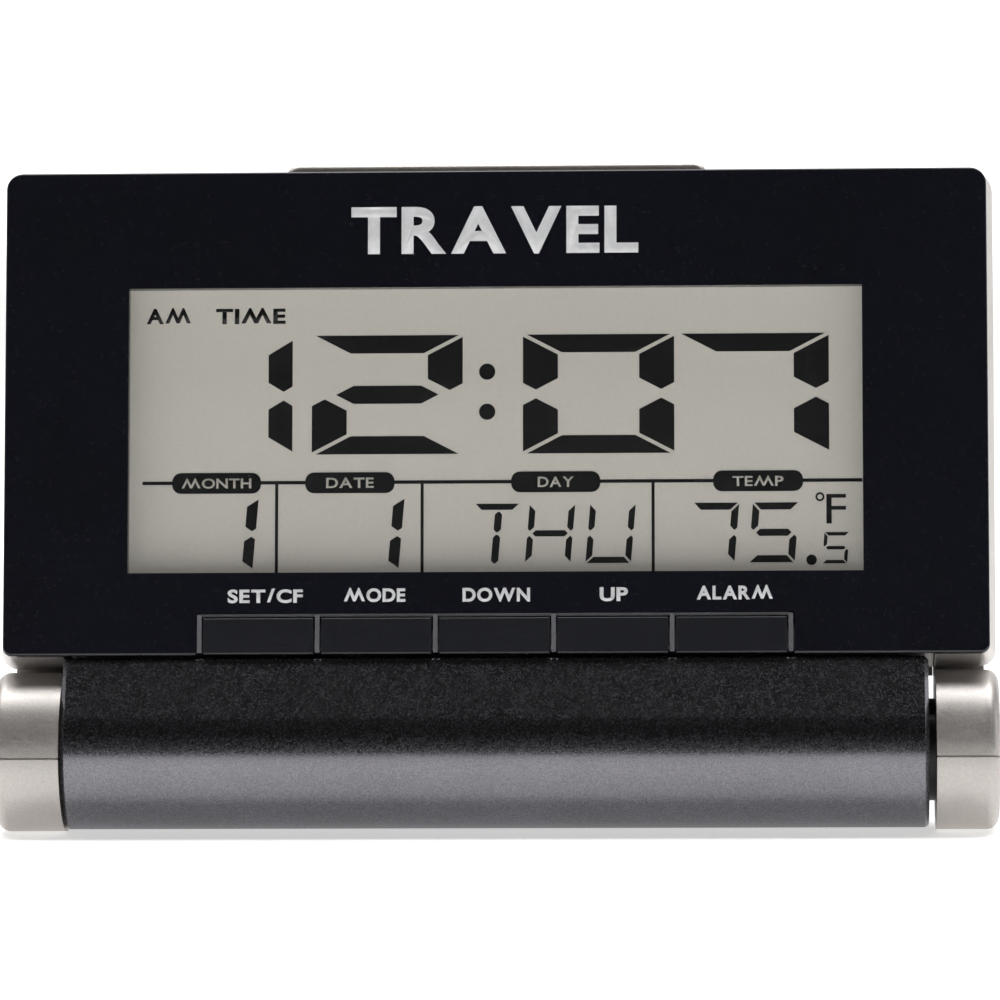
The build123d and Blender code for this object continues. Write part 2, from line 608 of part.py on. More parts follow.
with BuildPart() as cell_contact:
    slab(
        CELL_U - CONTACT_HALF_LENGTH, CELL_U + CONTACT_HALF_LENGTH,
        CELL_V - CONTACT_HALF_WIDTH, CELL_V + CONTACT_HALF_WIDTH,
        CELL_BACK + CELL_THICKNESS + SEAT, WELL_FLOOR - SEAT,
    )
save(cell_contact, "cell_contact")

with BuildPart() as cell_door:
    round_bar(CELL_U, CELL_V, DOOR_RADIUS, REAR_FACE, REAR_FACE + DOOR_THICKNESS)
    slab(
        CELL_U - DOOR_SLOT_HALF_LENGTH, CELL_U + DOOR_SLOT_HALF_LENGTH,
        CELL_V - DOOR_SLOT_HALF_WIDTH, CELL_V + DOOR_SLOT_HALF_WIDTH,
        REAR_FACE, REAR_FACE + DOOR_THICKNESS / 2, Mode.SUBTRACT,
    )
save(cell_door, "cell_door")

# --- Sounder disc ---
with BuildPart() as sounder_disc:
    sounder_back = REAR_WALL + WALL + SEAT
    round_bar(-CELL_U, CELL_V, SOUNDER_RADIUS, sounder_back, sounder_back + SOUNDER_THICKNESS)
save(sounder_disc, "sounder_disc")

# --- Flip cover: barrel, wedge-shaped spine and plate in one piece ---
with BuildPart() as cover_shell:
    with BuildSketch(COVER_SIDE.offset(-COVER_LEFT)) as section:
        Circle(DRUM_RADIUS)
        with BuildLine():
            Polyline(
                (0, 0),
                (DRUM_RADIUS * cos(SPINE_TANGENT), DRUM_RADIUS * sin(SPINE_TANGENT)),
                (COVER_OFFSET, -SPINE_FRONT),
                (COVER_OFFSET, 0),
                close=True,
            )
        make_face()
        with Locations((COVER_OFFSET - COVER_THICKNESS / 2, COVER_LENGTH / 2)):
            Rectangle(COVER_THICKNESS, COVER_LENGTH)
        corner = section.vertices().sort_by_distance((COVER_OFFSET, -SPINE_FRONT))[0]
        fillet(corner, SPINE_CORNER_RADIUS)
    extrude(section.sketch, amount=-(COVER_RIGHT - COVER_LEFT))
    plate_corners = cover_shell.edges().filter_by(Axis(AXIS_POINT, COVER_OUT)).group_by(
        Axis(AXIS_POINT, COVER_SIDE.y_dir)
    )[-1]
    fillet(plate_corners, COVER_END_RADIUS)
    end_faces = cover_shell.faces().sort_by(Axis.X)
    chamfer(end_faces[0].outer_wire().edges() + end_faces[-1].outer_wire().edges(), COVER_EDGE)
    axle(SPINE_BORE, COVER_LEFT, COVER_RIGHT, Mode.SUBTRACT)
    split(bisect_by=TABLE.offset(FOOT_HEIGHT), keep=Keep.TOP)
save(cover_shell, "cover_shell")

# --- Black plugs in the ends of the spine, each with a collar, and the steel pins in them ---
for side, name in ((-1, "left"), (1, "right")):
    plug_mouth = COVER_END[side]
    plug_bottom = plug_mouth - PLUG_DEPTH
    collar_end = DRUM_INNER[side] - RUNNING
    with BuildPart() as barrel_plug:
        axle(SPINE_BORE - SEAT, *sorted((side * plug_bottom, side * (plug_mouth + SEAT))))
        axle(COLLAR_RADIUS, *sorted((side * (plug_mouth + SEAT), side * collar_end)))
        axle(PIN_RADIUS + SEAT / 2, *sorted((side * (plug_bottom + WALL), side * collar_end)), Mode.SUBTRACT)
    save(barrel_plug, f"{name}_barrel_plug")

    with BuildPart() as hinge_pin:
        axle(PIN_RADIUS, *sorted((side * (plug_bottom + WALL + RUNNING), side * (PIN_END[side] - SLIDING))))
    save(hinge_pin, f"{name}_hinge_pin")

# --- Rubber foot pads under the cover's far edge ---
PAD_FAR = AXIS_Y + COVER_LENGTH * cos(SLOPE) + COVER_INNER * sin(SLOPE) - FOOT_INSET
for side, name in ((-1, "left"), (1, "right")):
    with BuildPart() as cover_foot:
        with BuildSketch(TABLE):
            with Locations((side * FOOT_SPACING / 2, PAD_FAR - FOOT_DEPTH / 2)):
                RectangleRounded(FOOT_WIDTH, FOOT_DEPTH, FOOT_DEPTH / 4)
        extrude(amount=FOOT_HEIGHT)
    save(cover_foot, f"{name}_cover_foot")
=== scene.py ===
"""Travel alarm clock: finishes, display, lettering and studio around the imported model."""

import json
from math import pi, radians

import bpy
from mathutils import Matrix, Vector


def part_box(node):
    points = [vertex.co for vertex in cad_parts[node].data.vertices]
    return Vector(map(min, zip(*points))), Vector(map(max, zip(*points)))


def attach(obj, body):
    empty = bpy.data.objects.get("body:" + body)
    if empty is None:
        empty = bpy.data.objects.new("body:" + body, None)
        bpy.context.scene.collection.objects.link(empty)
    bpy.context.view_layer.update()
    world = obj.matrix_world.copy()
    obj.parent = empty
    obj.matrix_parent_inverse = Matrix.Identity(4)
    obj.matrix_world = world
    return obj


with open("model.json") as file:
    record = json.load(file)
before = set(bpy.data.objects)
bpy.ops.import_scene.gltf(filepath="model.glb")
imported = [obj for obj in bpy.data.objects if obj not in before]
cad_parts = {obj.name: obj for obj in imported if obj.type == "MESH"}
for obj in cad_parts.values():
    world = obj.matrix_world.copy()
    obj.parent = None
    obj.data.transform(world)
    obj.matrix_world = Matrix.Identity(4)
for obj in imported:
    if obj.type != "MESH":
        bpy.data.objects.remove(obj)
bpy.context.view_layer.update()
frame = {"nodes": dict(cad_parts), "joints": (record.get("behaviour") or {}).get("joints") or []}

bl_info = {
    "name": "Travel alarm clock",
    "version": (1, 0, 0),
    "blender": (4, 5, 0),
    "location": "View3D > Sidebar > Clock",
    "description": "Finishes, LCD artwork, lettering and studio for a folding travel alarm clock",
    "category": "Object",
}

MM = 0.001

# The head leans back about the hinge axis; u runs right, v up the panel and w out of it.
HINGE = next(joint for joint in frame["joints"] if joint["name"] == "cover_hinge")
SNOOZE = next(joint for joint in frame["joints"] if joint["name"] == "snooze_press")
HEAD_UP = -Vector(SNOOZE["axis"]).normalized()
HEAD_RIGHT = Vector((1, 0, 0))
HEAD_OUT = HEAD_RIGHT.cross(HEAD_UP)
AXIS_POINT = Vector(HINGE["pos_m"])
HEAD_PLACE = Matrix.Translation(AXIS_POINT) @ Matrix((HEAD_RIGHT, HEAD_UP, HEAD_OUT)).transposed().to_4x4()


def level(node):
    """The highest w of a CAD node, in millimetres: how far out of the panel it reaches."""
    vertices = bpy.data.objects[frame["nodes"][node].name].data.vertices
    return max((vertex.co - AXIS_POINT).dot(HEAD_OUT) for vertex in vertices) / MM


PANEL_FACE = level("front_panel")
LCD_FACE = level("lcd_polariser")


def linear(code):
    """An sRGB hex colour such as "a0a0a0" as linear RGBA."""
    channels = [int(code[i : i + 2], 16) / 255 for i in (0, 2, 4)]
    return [c / 12.92 if c <= 0.04045 else ((c + 0.055) / 1.055) ** 2.4 for c in channels] + [1.0]


# ---------------------------------------------------------------- settings


class ClockSizes(bpy.types.PropertyGroup):
    """Sizes of the artwork on the display and the panel, in millimetres."""

    digit_width: bpy.props.FloatProperty(
        name="Digit width", description="Width of a large time digit", default=16.65, min=5, max=25
    )
    digit_height: bpy.props.FloatProperty(
        name="Digit height", description="Height of a large time digit", default=13.2, min=5, max=20
    )
    stroke_across: bpy.props.FloatProperty(
        name="Upright stroke", description="Width of an upright segment", default=3.85, min=1, max=6
    )
    stroke_level: bpy.props.FloatProperty(
        name="Level stroke", description="Height of a level segment", default=2.0, min=0.5, max=4
    )
    print_thickness: bpy.props.FloatProperty(
        name="Print thickness", description="How far printed artwork stands up",
        default=0.03, min=0.01, max=0.2,
    )


class ClockColours(bpy.types.PropertyGroup):
    """sRGB hex colours of the finishes."""

    panel: bpy.props.StringProperty(name="Panel", description="Navy-black panel", default="12131b")
    keys: bpy.props.StringProperty(name="Keys", description="Key caps", default="191a21")
    # Painted shade: the comb's grey stands for the silver paint in the shade of the key notch under the
    # panel.
    comb: bpy.props.StringProperty(
        name="Key comb", description="Grey ribs between the keys", default="6b6b70"
    )
    silver: bpy.props.StringProperty(name="Silver", description="Silver paint", default="bbb6b2")
    graphite: bpy.props.StringProperty(name="Graphite", description="Dark metallic paint", default="747378")
    display: bpy.props.StringProperty(name="Display", description="Unlit LCD ground", default="c0bcb4")
    segments: bpy.props.StringProperty(name="Segments", description="Driven LCD segments", default="050506")
    lettering: bpy.props.StringProperty(name="Lettering", description="Printed words", default="e4e4e6")
    floor: bpy.props.StringProperty(name="Floor", description="Studio floor", default="f4f4f3")


# ---------------------------------------------------------------- materials


def add_node(tree, kind, settings=None, links=None):
    """Add a shader node, set its properties or inputs by name, and link its inputs to outputs."""
    node = tree.nodes.new(kind)
    for name, value in (settings or {}).items():
        if name in node.inputs:
            node.inputs[name].default_value = value
        else:
            setattr(node, name, value)
    for name, output in (links or {}).items():
        tree.links.new(output, node.inputs[name])
    return node


def new_material(name, settings):
    """A material with one shader; returns the material, its tree, the shader and Object coordinates."""
    material = bpy.data.materials.new(name)
    material.use_nodes = True
    tree = material.node_tree
    shader = tree.nodes["Principled BSDF"]
    for socket, value in settings.items():
        shader.inputs[socket].default_value = value
    place = add_node(tree, "ShaderNodeTexCoord").outputs["Object"]
    return material, tree, shader, place


def noise(tree, place, size_mm, detail=2.0, roughness=0.5):
    """Noise whose lumps are about size_mm across."""
    return add_node(
        tree, "ShaderNodeTexNoise",
        {"Scale": 1.0 / (size_mm * MM), "Detail": detail, "Roughness": roughness},
        {"Vector": place},
    ).outputs["Fac"]


def spread(tree, value, low, high, from_low=0.3, from_high=0.7):
    """Map a pattern's value to the range low to high."""
    return add_node(
        tree, "ShaderNodeMapRange",
        {"From Min": from_low, "From Max": from_high, "To Min": low, "To Max": high},
        {"Value": value},
    ).outputs["Result"]


def tint(tree, value, dark, light):
    """A colour between two hex colours, by a pattern's value."""
    ramp = add_node(tree, "ShaderNodeValToRGB", {}, {"Fac": value})
    ramp.color_ramp.elements[0].color = linear(dark)
    ramp.color_ramp.elements[1].color = linear(light)
    return ramp.outputs["Color"]


def bump(tree, shader, height, strength, depth_mm):
    """Relief of depth_mm on the shader's normal."""
    node = add_node(
        tree, "ShaderNodeBump", {"Strength": strength, "Distance": depth_mm * MM}, {"Height": height}
    )
    tree.links.new(node.outputs["Normal"], shader.inputs["Normal"])


def shade(code, factor):
    """A hex colour with its channels multiplied by factor."""
    return "".join(f"{min(255, round(int(code[i : i + 2], 16) * factor)):02x}" for i in (0, 2, 4))


def metallic_paint(name, code, base_metal, rough, flake_mm, painted_sparkle, grain):
    """Metallic paint on moulded ABS: aluminium flakes in a clear binder.

    The flakes are about 0.05 mm on the real paint and are drawn coarser, so that their sparkle shows: each
    flake's colour is lighter or darker by a painted glint, and its gloss and relief vary as well.
    """
    material, tree, shader, place = new_material(
        name, {"Metallic": base_metal, "Coat Weight": 0.0, "IOR": 1.5}
    )
    cells = add_node(
        tree, "ShaderNodeTexVoronoi", {"Scale": 1.0 / (flake_mm * MM)}, {"Vector": place}
    )
    pick = add_node(tree, "ShaderNodeSeparateColor", {}, {"Color": cells.outputs["Color"]})
    flake = pick.outputs["Red"]
    clouds = noise(tree, place, 9.0)
    # Painted glint: each flake's colour is made lighter or darker, whatever the light.
    painted_glint = spread(tree, flake, 0, 1, 0.0, 1.0)
    colour = tint(tree, painted_glint, shade(code, 1 - painted_sparkle), shade(code, 1 + painted_sparkle))
    soft = tint(tree, spread(tree, clouds, 0, 1), shade(code, 0.96), shade(code, 1.03))
    mixed = add_node(
        tree, "ShaderNodeMix", {"data_type": "RGBA", "Factor": 0.45}, {}
    )
    tree.links.new(soft, mixed.inputs[6])
    tree.links.new(colour, mixed.inputs[7])
    tree.links.new(mixed.outputs[2], shader.inputs["Base Color"])
    tree.links.new(spread(tree, flake, rough - 0.06, rough + 0.08, 0, 1), shader.inputs["Roughness"])
    bump(tree, shader, flake, grain, flake_mm * 0.25)
    return material


def moulded_plastic(name, code, rough, texture_mm, grain, coat=0.0):
    """Injection-moulded ABS: even colour, a fine spark-eroded texture and slightly uneven gloss."""
    material, tree, shader, place = new_material(
        name, {"IOR": 1.5, "Coat Weight": coat, "Coat Roughness": 0.12}
    )
    pores = noise(tree, place, texture_mm, 3.0)
    clouds = noise(tree, place, 14.0)
    colour = tint(tree, spread(tree, clouds, 0, 1), shade(code, 0.93), shade(code, 1.07))
    tree.links.new(colour, shader.inputs["Base Color"])
    tree.links.new(spread(tree, pores, rough - 0.05, rough + 0.06), shader.inputs["Roughness"])
    bump(tree, shader, pores, grain, texture_mm * 0.15)
    return material


def turned_metal(name, code, rough, line_mm):
    """Plated or turned metal: bright, with fine tool lines that spread the highlight."""
    material, tree, shader, place = new_material(name, {"Metallic": 1.0})
    lines = noise(tree, place, line_mm, 4.0)
    colour = tint(tree, spread(tree, lines, 0, 1), shade(code, 0.9), shade(code, 1.06))
    tree.links.new(colour, shader.inputs["Base Color"])
    tree.links.new(spread(tree, lines, rough - 0.05, rough + 0.08), shader.inputs["Roughness"])
    bump(tree, shader, lines, 0.15, 0.01)
    return material


def clear_pane(name):
    """Cast acrylic pane: nearly invisible, with a faint reflection."""
    material, tree, shader, place = new_material(name, {"IOR": 1.49, "Alpha": 0.03})
    haze = noise(tree, place, 6.0)
    tree.links.new(tint(tree, haze, "3a3c3e", "46484a"), shader.inputs["Base Color"])
    tree.links.new(spread(tree, haze, 0.04, 0.09), shader.inputs["Roughness"])
    return material


# Strength of the painted glow on the LCD ground: painted light that evens out the recess's shade, not a lamp.
LCD_PAINTED_GLOW = 0.24


def lcd_ground(name, code):
    """Reflective twisted-nematic LCD under a satin polariser: warm grey, painted slightly lighter towards the
    top against the recess's shade there.

    The ground glows faintly with painted light, which evens out the shade of the recess.
    """
    material, tree, shader, place = new_material(name, {"IOR": 1.5, "Emission Strength": LCD_PAINTED_GLOW})
    height = add_node(tree, "ShaderNodeSeparateXYZ", {}, {"Vector": place}).outputs["Z"]
    low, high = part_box("lcd_polariser")
    # Painted light: the ground gets lighter towards the top, where the recess shades it.
    rise = add_node(
        tree, "ShaderNodeMapRange",
        {"From Min": low.z, "From Max": high.z, "To Min": 0.0, "To Max": 1.0}, {"Value": height},
    ).outputs["Result"]
    grain = noise(tree, place, 0.22, 2.0)
    base = tint(tree, rise, shade(code, 0.97), shade(code, 1.035))
    speck = tint(tree, spread(tree, grain, 0, 1), shade(code, 0.95), shade(code, 1.04))
    mixed = add_node(tree, "ShaderNodeMix", {"data_type": "RGBA", "Factor": 0.35}, {})
    tree.links.new(base, mixed.inputs[6])
    tree.links.new(speck, mixed.inputs[7])
    tree.links.new(mixed.outputs[2], shader.inputs["Base Color"])
    # Painted light: the ground's own colour also glows, to lift the shade of the recess.
    tree.links.new(mixed.outputs[2], shader.inputs["Emission Color"])
    tree.links.new(spread(tree, grain, 0.45, 0.6), shader.inputs["Roughness"])
    return material


def ink(name, code, rough):
    """Screen-printed or driven artwork: a flat, even film with a trace of unevenness."""
    material, tree, shader, place = new_material(name, {"IOR": 1.48})
    film = noise(tree, place, 0.6)
    tree.links.new(tint(tree, film, shade(code, 0.94), shade(code, 1.04)), shader.inputs["Base Color"])
    tree.links.new(spread(tree, film, rough - 0.05, rough + 0.05), shader.inputs["Roughness"])
    return material


def paint_node(node, material):
    """Give a CAD node one material."""
    slots = frame["nodes"][node].material_slots
    for place in slots:
        place.material = material
    if not slots:
        frame["nodes"][node].data.materials.append(material)


# ---------------------------------------------------------------- modelling helpers


def deselect():
    """Leave nothing selected, so that the next operator acts only on its own piece."""
    if bpy.context.object and bpy.context.object.mode != "OBJECT":
        bpy.ops.object.mode_set(mode="OBJECT")
    bpy.ops.object.select_all(action="DESELECT")


def bar(u0, u1, v0, v1, cuts, thickness):
    """A flat bar of artwork, trimmed by cuts (a point and the direction that is removed), then raised."""
    deselect()
    bpy.ops.mesh.primitive_plane_add(size=1)
    piece = bpy.context.object
    bpy.ops.object.mode_set(mode="EDIT")
    bpy.ops.transform.resize(value=(u1 - u0, v1 - v0, 1))
    bpy.ops.transform.translate(value=((u0 + u1) / 2, (v0 + v1) / 2, 0))
    for (u, v), (out_u, out_v) in cuts:
        bpy.ops.mesh.select_all(action="SELECT")
        bpy.ops.mesh.bisect(plane_co=(u, v, 0), plane_no=(out_u, out_v, 0), clear_outer=True)
    raise_up(thickness)
    return piece


def raise_up(thickness):
    """In edit mode, give a flat shape its thickness and leave edit mode with its faces outwards."""
    bpy.ops.mesh.select_all(action="SELECT")
    bpy.ops.mesh.extrude_region_move(TRANSFORM_OT_translate={"value": (0, 0, thickness)})
    bpy.ops.mesh.select_all(action="SELECT")
    bpy.ops.mesh.normals_make_consistent(inside=False)
    bpy.ops.object.mode_set(mode="OBJECT")


def disc(u, v, radius, thickness, hole=0.0):
    """A dot of artwork, or a ring if it has a hole."""
    deselect()
    bpy.ops.mesh.primitive_circle_add(vertices=40, radius=radius, fill_type="NGON")
    piece = bpy.context.object
    bpy.ops.object.mode_set(mode="EDIT")
    if hole:
        bpy.ops.mesh.inset(thickness=radius - hole)
        bpy.ops.mesh.delete(type="FACE")
    bpy.ops.mesh.select_all(action="SELECT")
    bpy.ops.transform.translate(value=(u, v, 0))
    raise_up(thickness)
    return piece


def pill(u0, u1, v0, v1, thickness):
    """A bar with round corners, for the tags on the display."""
    deselect()
    bpy.ops.mesh.primitive_plane_add(size=1)
    piece = bpy.context.object
    bpy.ops.object.mode_set(mode="EDIT")
    bpy.ops.transform.resize(value=(u1 - u0, v1 - v0, 1))
    bpy.ops.transform.translate(value=((u0 + u1) / 2, (v0 + v1) / 2, 0))
    bpy.ops.mesh.bevel(offset=(v1 - v0) * 0.42, segments=6, affect="VERTICES")
    raise_up(thickness)
    return piece


def letter(character, weight):
    """One plain sans letter, flat, with its lower left corner at the origin; returns it and its width."""
    deselect()
    bpy.ops.object.text_add()
    piece = bpy.context.object
    # A W turned round is the M, because the font's own M fills in when it is made bolder.
    piece.data.body = "W" if character == "M" else character
    piece.data.offset = weight
    piece.data.resolution_u = 6
    bpy.ops.object.convert(target="MESH")
    piece = bpy.context.object
    if character == "M":
        piece.data.transform(Matrix.Rotation(pi, 4, "Z"))
    xs = [vertex.co.x for vertex in piece.data.vertices]
    ys = [vertex.co.y for vertex in piece.data.vertices]
    foot = min(ys) if character in "M/" else 0
    piece.data.transform(Matrix.Translation((-min(xs), -foot, 0)))
    return piece, max(xs) - min(xs)


def word(text, u0, u1, v0, v1, thickness, weight=0.0, spacing=0.07):
    """A word in plain sans letters that fills the given box, as a raised mesh."""
    letters = []
    reach = 0.0
    for character in text:
        piece, width = letter(character, weight)
        piece.data.transform(Matrix.Translation((reach, 0, 0)))
        letters.append(piece)
        reach += width + spacing
    deselect()
    for piece in letters:
        piece.select_set(True)
    bpy.context.view_layer.objects.active = letters[0]
    bpy.ops.object.join()
    whole = bpy.context.object
    ys = [vertex.co.y for vertex in whole.data.vertices]
    stretch = ((u1 - u0) / (reach - spacing), (v1 - v0) / (max(ys) - min(ys)), 1)
    whole.data.transform(Matrix.Translation((0, -min(ys), 0)))
    bpy.ops.object.mode_set(mode="EDIT")
    bpy.ops.mesh.select_all(action="SELECT")
    bpy.ops.transform.resize(value=stretch, center_override=(0, 0, 0))
    bpy.ops.transform.translate(value=(u0, v0, 0))
    bpy.ops.mesh.remove_doubles(threshold=0.0005)
    raise_up(thickness)
    return whole


def lean(pieces, low, slant):
    """Lean flat pieces to the right about the level low, as on small display figures."""
    back = Matrix.Translation((0, low, 0))
    shear = back @ Matrix.Shear("XZ", 4, (slant, 0)) @ Matrix.Translation((0, -low, 0))
    for piece in pieces:
        piece.data.transform(shear)
    return pieces


def settle(name, pieces, material, level_mm, body="head"):
    """Join pieces drawn flat in millimetres, set them on the head at level_mm and let them ride on it."""
    deselect()
    for piece in pieces:
        piece.select_set(True)
    bpy.context.view_layer.objects.active = pieces[0]
    if len(pieces) > 1:
        bpy.ops.object.join()
    whole = bpy.context.object
    bpy.ops.object.transform_apply(location=True, rotation=True, scale=True)
    whole.data.transform(HEAD_PLACE @ Matrix.Scale(MM, 4) @ Matrix.Translation((0, 0, level_mm)))
    whole.name = name
    whole.data.name = name
    whole.data.materials.clear()
    whole.data.materials.append(material)
    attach(whole, body)
    return whole


# ---------------------------------------------------------------- display artwork

# Which of the seven segments each digit lights: top, upper right, lower right, bottom, lower left,
# upper left, middle.
SEGMENTS = {"0": "abcdef", "1": "bc", "2": "abged", "5": "acdfg", "7": "abc", "H": "bcefg", "U": "bcdef"}
GAP = 0.4


def seven_segments(digit, left, low, width, height, across, rise, thickness, gap=GAP):
    """The lit segments of one digit, with mitred ends that follow the diagonal of the corner."""
    right, top, middle = left + width, low + height, low + height / 2
    slant = Vector((rise, across)).normalized()
    spacing = Vector((slant.x * gap, slant.y * gap)) / 2
    tip = 0.37 * across
    bar_inset = 0.58 * across
    lit = SEGMENTS[digit]
    parts = []

    def mitre(corner_u, corner_v, out_u, out_v):
        normal = (out_u * slant.x, out_v * slant.y)
        point = (corner_u - out_u * spacing.x, corner_v - out_v * spacing.y)
        return point, normal

    if "a" in lit:
        cuts = [mitre(left, top, -1, -1), mitre(right, top, 1, -1)]
        parts.append(bar(left, right, top - rise, top, cuts, thickness))
    if "d" in lit:
        cuts = [mitre(left, low, -1, 1), mitre(right, low, 1, 1)]
        parts.append(bar(left, right, low, low + rise, cuts, thickness))
    if "g" in lit:
        cuts = []
        for side, edge in ((-1, left + bar_inset), (1, right - bar_inset)):
            cuts += [mitre(edge, middle, side, 1), mitre(edge, middle, side, -1)]
        parts.append(bar(left, right, middle - rise / 2, middle + rise / 2, cuts, thickness))
    for name, side, up in (("f", -1, 1), ("b", 1, 1), ("e", -1, -1), ("c", 1, -1)):
        if name not in lit:
            continue
        outer = left if side < 0 else right
        u0, u1 = sorted((outer, outer - side * across))
        far = top if up > 0 else low
        v0, v1 = sorted((middle, far))
        tip_u = outer - side * tip
        tip_v = middle + up * gap * 1.2
        cuts = [
            mitre(outer, far, side * 0 - side, up),
            ((tip_u, tip_v), (-side * slant.x, -up * slant.y)),
            ((tip_u, tip_v), (side * slant.x, -up * slant.y)),
        ]
        parts.append(bar(u0, u1, v0, v1, cuts, thickness))
    return parts


class ClockOperator:
    """What all operators of this file share."""

    bl_options = {"REGISTER", "UNDO"}

    @classmethod
    def poll(cls, context):
        return context.mode == "OBJECT"


class CLOCK_OT_big_digits(ClockOperator, bpy.types.Operator):
    """Draw the hours and minutes in large seven-segment digits"""

    bl_idname = "clock.big_digits"
    bl_label = "Time digits"

    def execute(self, context):
        sizes = context.scene.clock_sizes
        width, height = sizes.digit_width, sizes.digit_height
        across, rise = sizes.stroke_across, sizes.stroke_level
        film = sizes.print_thickness
        parts = []
        hour_left, first_left, second_left = -20.3, 3.0, 20.0
        for digit, left in (("2", hour_left), ("0", first_left), ("7", second_left)):
            parts += seven_segments(digit, left, 32.5, width, height, across, rise, film)
        thin = 2.65
        parts += seven_segments("1", hour_left - 2.15 - thin, 32.6, thin, height - 0.4, thin, 1.6, film)
        for v in (37.15, 41.6):
            parts.append(disc(-0.95, v, 0.9, film))
        settle("time_digits", parts, bpy.data.materials["lcd_segment"], LCD_FACE + 0.01)
        return {"FINISHED"}


class CLOCK_OT_calendar(ClockOperator, bpy.types.Operator):
    """Draw the small figures, the rules and the tags in the lower part of the display"""

    bl_idname = "clock.calendar"
    bl_label = "Calendar line"

    def execute(self, context):
        film = context.scene.clock_sizes.print_thickness
        parts = [bar(-39.0, 40.25, 29.2, 29.58, [], film)]
        for u in (-24.15, -8.1, 17.3):
            parts.append(bar(u - 0.17, u + 0.17, 19.0, 29.3, [], film))
        figures = []
        for left in (-27.95, -11.85):
            figures += seven_segments("1", left, 19.75, 1.2, 7.95, 1.2, 0.8, film, 0.25)
        low, height, stroke = 20.35, 6.6, 0.78
        figures += seven_segments("7", 21.1, low, 5.1, height, stroke, stroke, film, 0.22)
        figures += seven_segments("5", 27.7, low, 5.1, height, stroke, stroke, film, 0.22)
        figures += seven_segments("H", 3.2, low, 5.0, height, 0.68, 0.68, film, 0.22)
        figures += seven_segments("U", 9.85, low, 5.0, height, 0.68, 0.68, film, 0.22)
        figures += seven_segments("5", 35.8, 20.2, 2.75, 3.45, 0.38, 0.38, film, 0.12)
        stem_left, stem_right = -0.55, 0.25
        middle, top = low + height / 2, low + height
        ends = [((-2.75, top), (-1, -1)), ((2.0, top), (1, -1))]
        figures.append(bar(-2.75, 2.0, top - 0.68, top, ends, film))
        for v0, v1 in ((middle + 0.15, top - 0.9), (low, middle - 0.15)):
            ends = [
                ((stem_left, v0 + 0.3), (-1, -1)), ((stem_right, v0 + 0.3), (1, -1)),
                ((stem_left, v1 - 0.3), (-1, 1)), ((stem_right, v1 - 0.3), (1, 1)),
            ]
            figures.append(bar(stem_left, stem_right, v0, v1, ends, film))
        parts += lean(figures, low, 0.085)
        parts.append(disc(34.65, 20.6, 0.58, film))
        parts.append(disc(35.6, 27.55, 0.5, film, 0.28))
        parts.append(word("F", 36.3, 38.45, 24.6, 27.85, film))
        parts.append(word("AM", -38.65, -33.75, 47.1, 48.9, film, 0.035))
        parts.append(word("TIME", -30.95, -23.25, 47.05, 48.85, film, 0.035))
        settle("calendar_line", parts, bpy.data.materials["lcd_segment"], LCD_FACE + 0.01)
        return {"FINISHED"}


class CLOCK_OT_tags(ClockOperator, bpy.types.Operator):
    """Draw the dark tags with their light words under the rule"""

    bl_idname = "clock.tags"
    bl_label = "Display tags"

    def execute(self, context):
        film = context.scene.clock_sizes.print_thickness
        tags, words = [], []
        tag_list = (
            ("MONTH", -35.7, -25.9, 7.7), ("DATE", -21.0, -11.15, 5.25),
            ("DAY", 1.7, 11.5, 3.95), ("TEMP", 23.9, 33.75, 5.6),
        )
        for text, left, right, length in tag_list:
            middle = (left + right) / 2
            tags.append(pill(left, right, 28.2, 30.5, film * 2))
            words.append(word(text, middle - length / 2, middle + length / 2, 28.77, 29.92, film, 0.02))
        settle("display_tags", tags, bpy.data.materials["lcd_segment"], LCD_FACE + 0.01)
        settle("tag_words", words, bpy.data.materials["lcd_clear"], LCD_FACE + 0.01 + film * 2)
        return {"FINISHED"}


class CLOCK_OT_key_words(ClockOperator, bpy.types.Operator):
    """Print the plain function words above the keys and a plain word above the display"""

    bl_idname = "clock.key_words"
    bl_label = "Printed words"

    def execute(self, context):
        film = context.scene.clock_sizes.print_thickness
        words = (
            ("SET/CF", -29.25, -21.0, 15.8, 17.4), ("MODE", -16.5, -9.75, 15.87, 17.45),
            ("DOWN", -3.5, 3.9, 15.85, 17.4), ("UP", 11.5, 14.6, 15.85, 17.4),
            ("ALARM", 22.1, 30.4, 16.0, 17.6), ("TRAVEL", -15.8, 15.8, 54.3, 59.6),
        )
        printed = [word(text, u0, u1, v0, v1, film, 0.036) for text, u0, u1, v0, v1 in words]
        settle("printed_words", printed, bpy.data.materials["white_print"], PANEL_FACE)
        return {"FINISHED"}


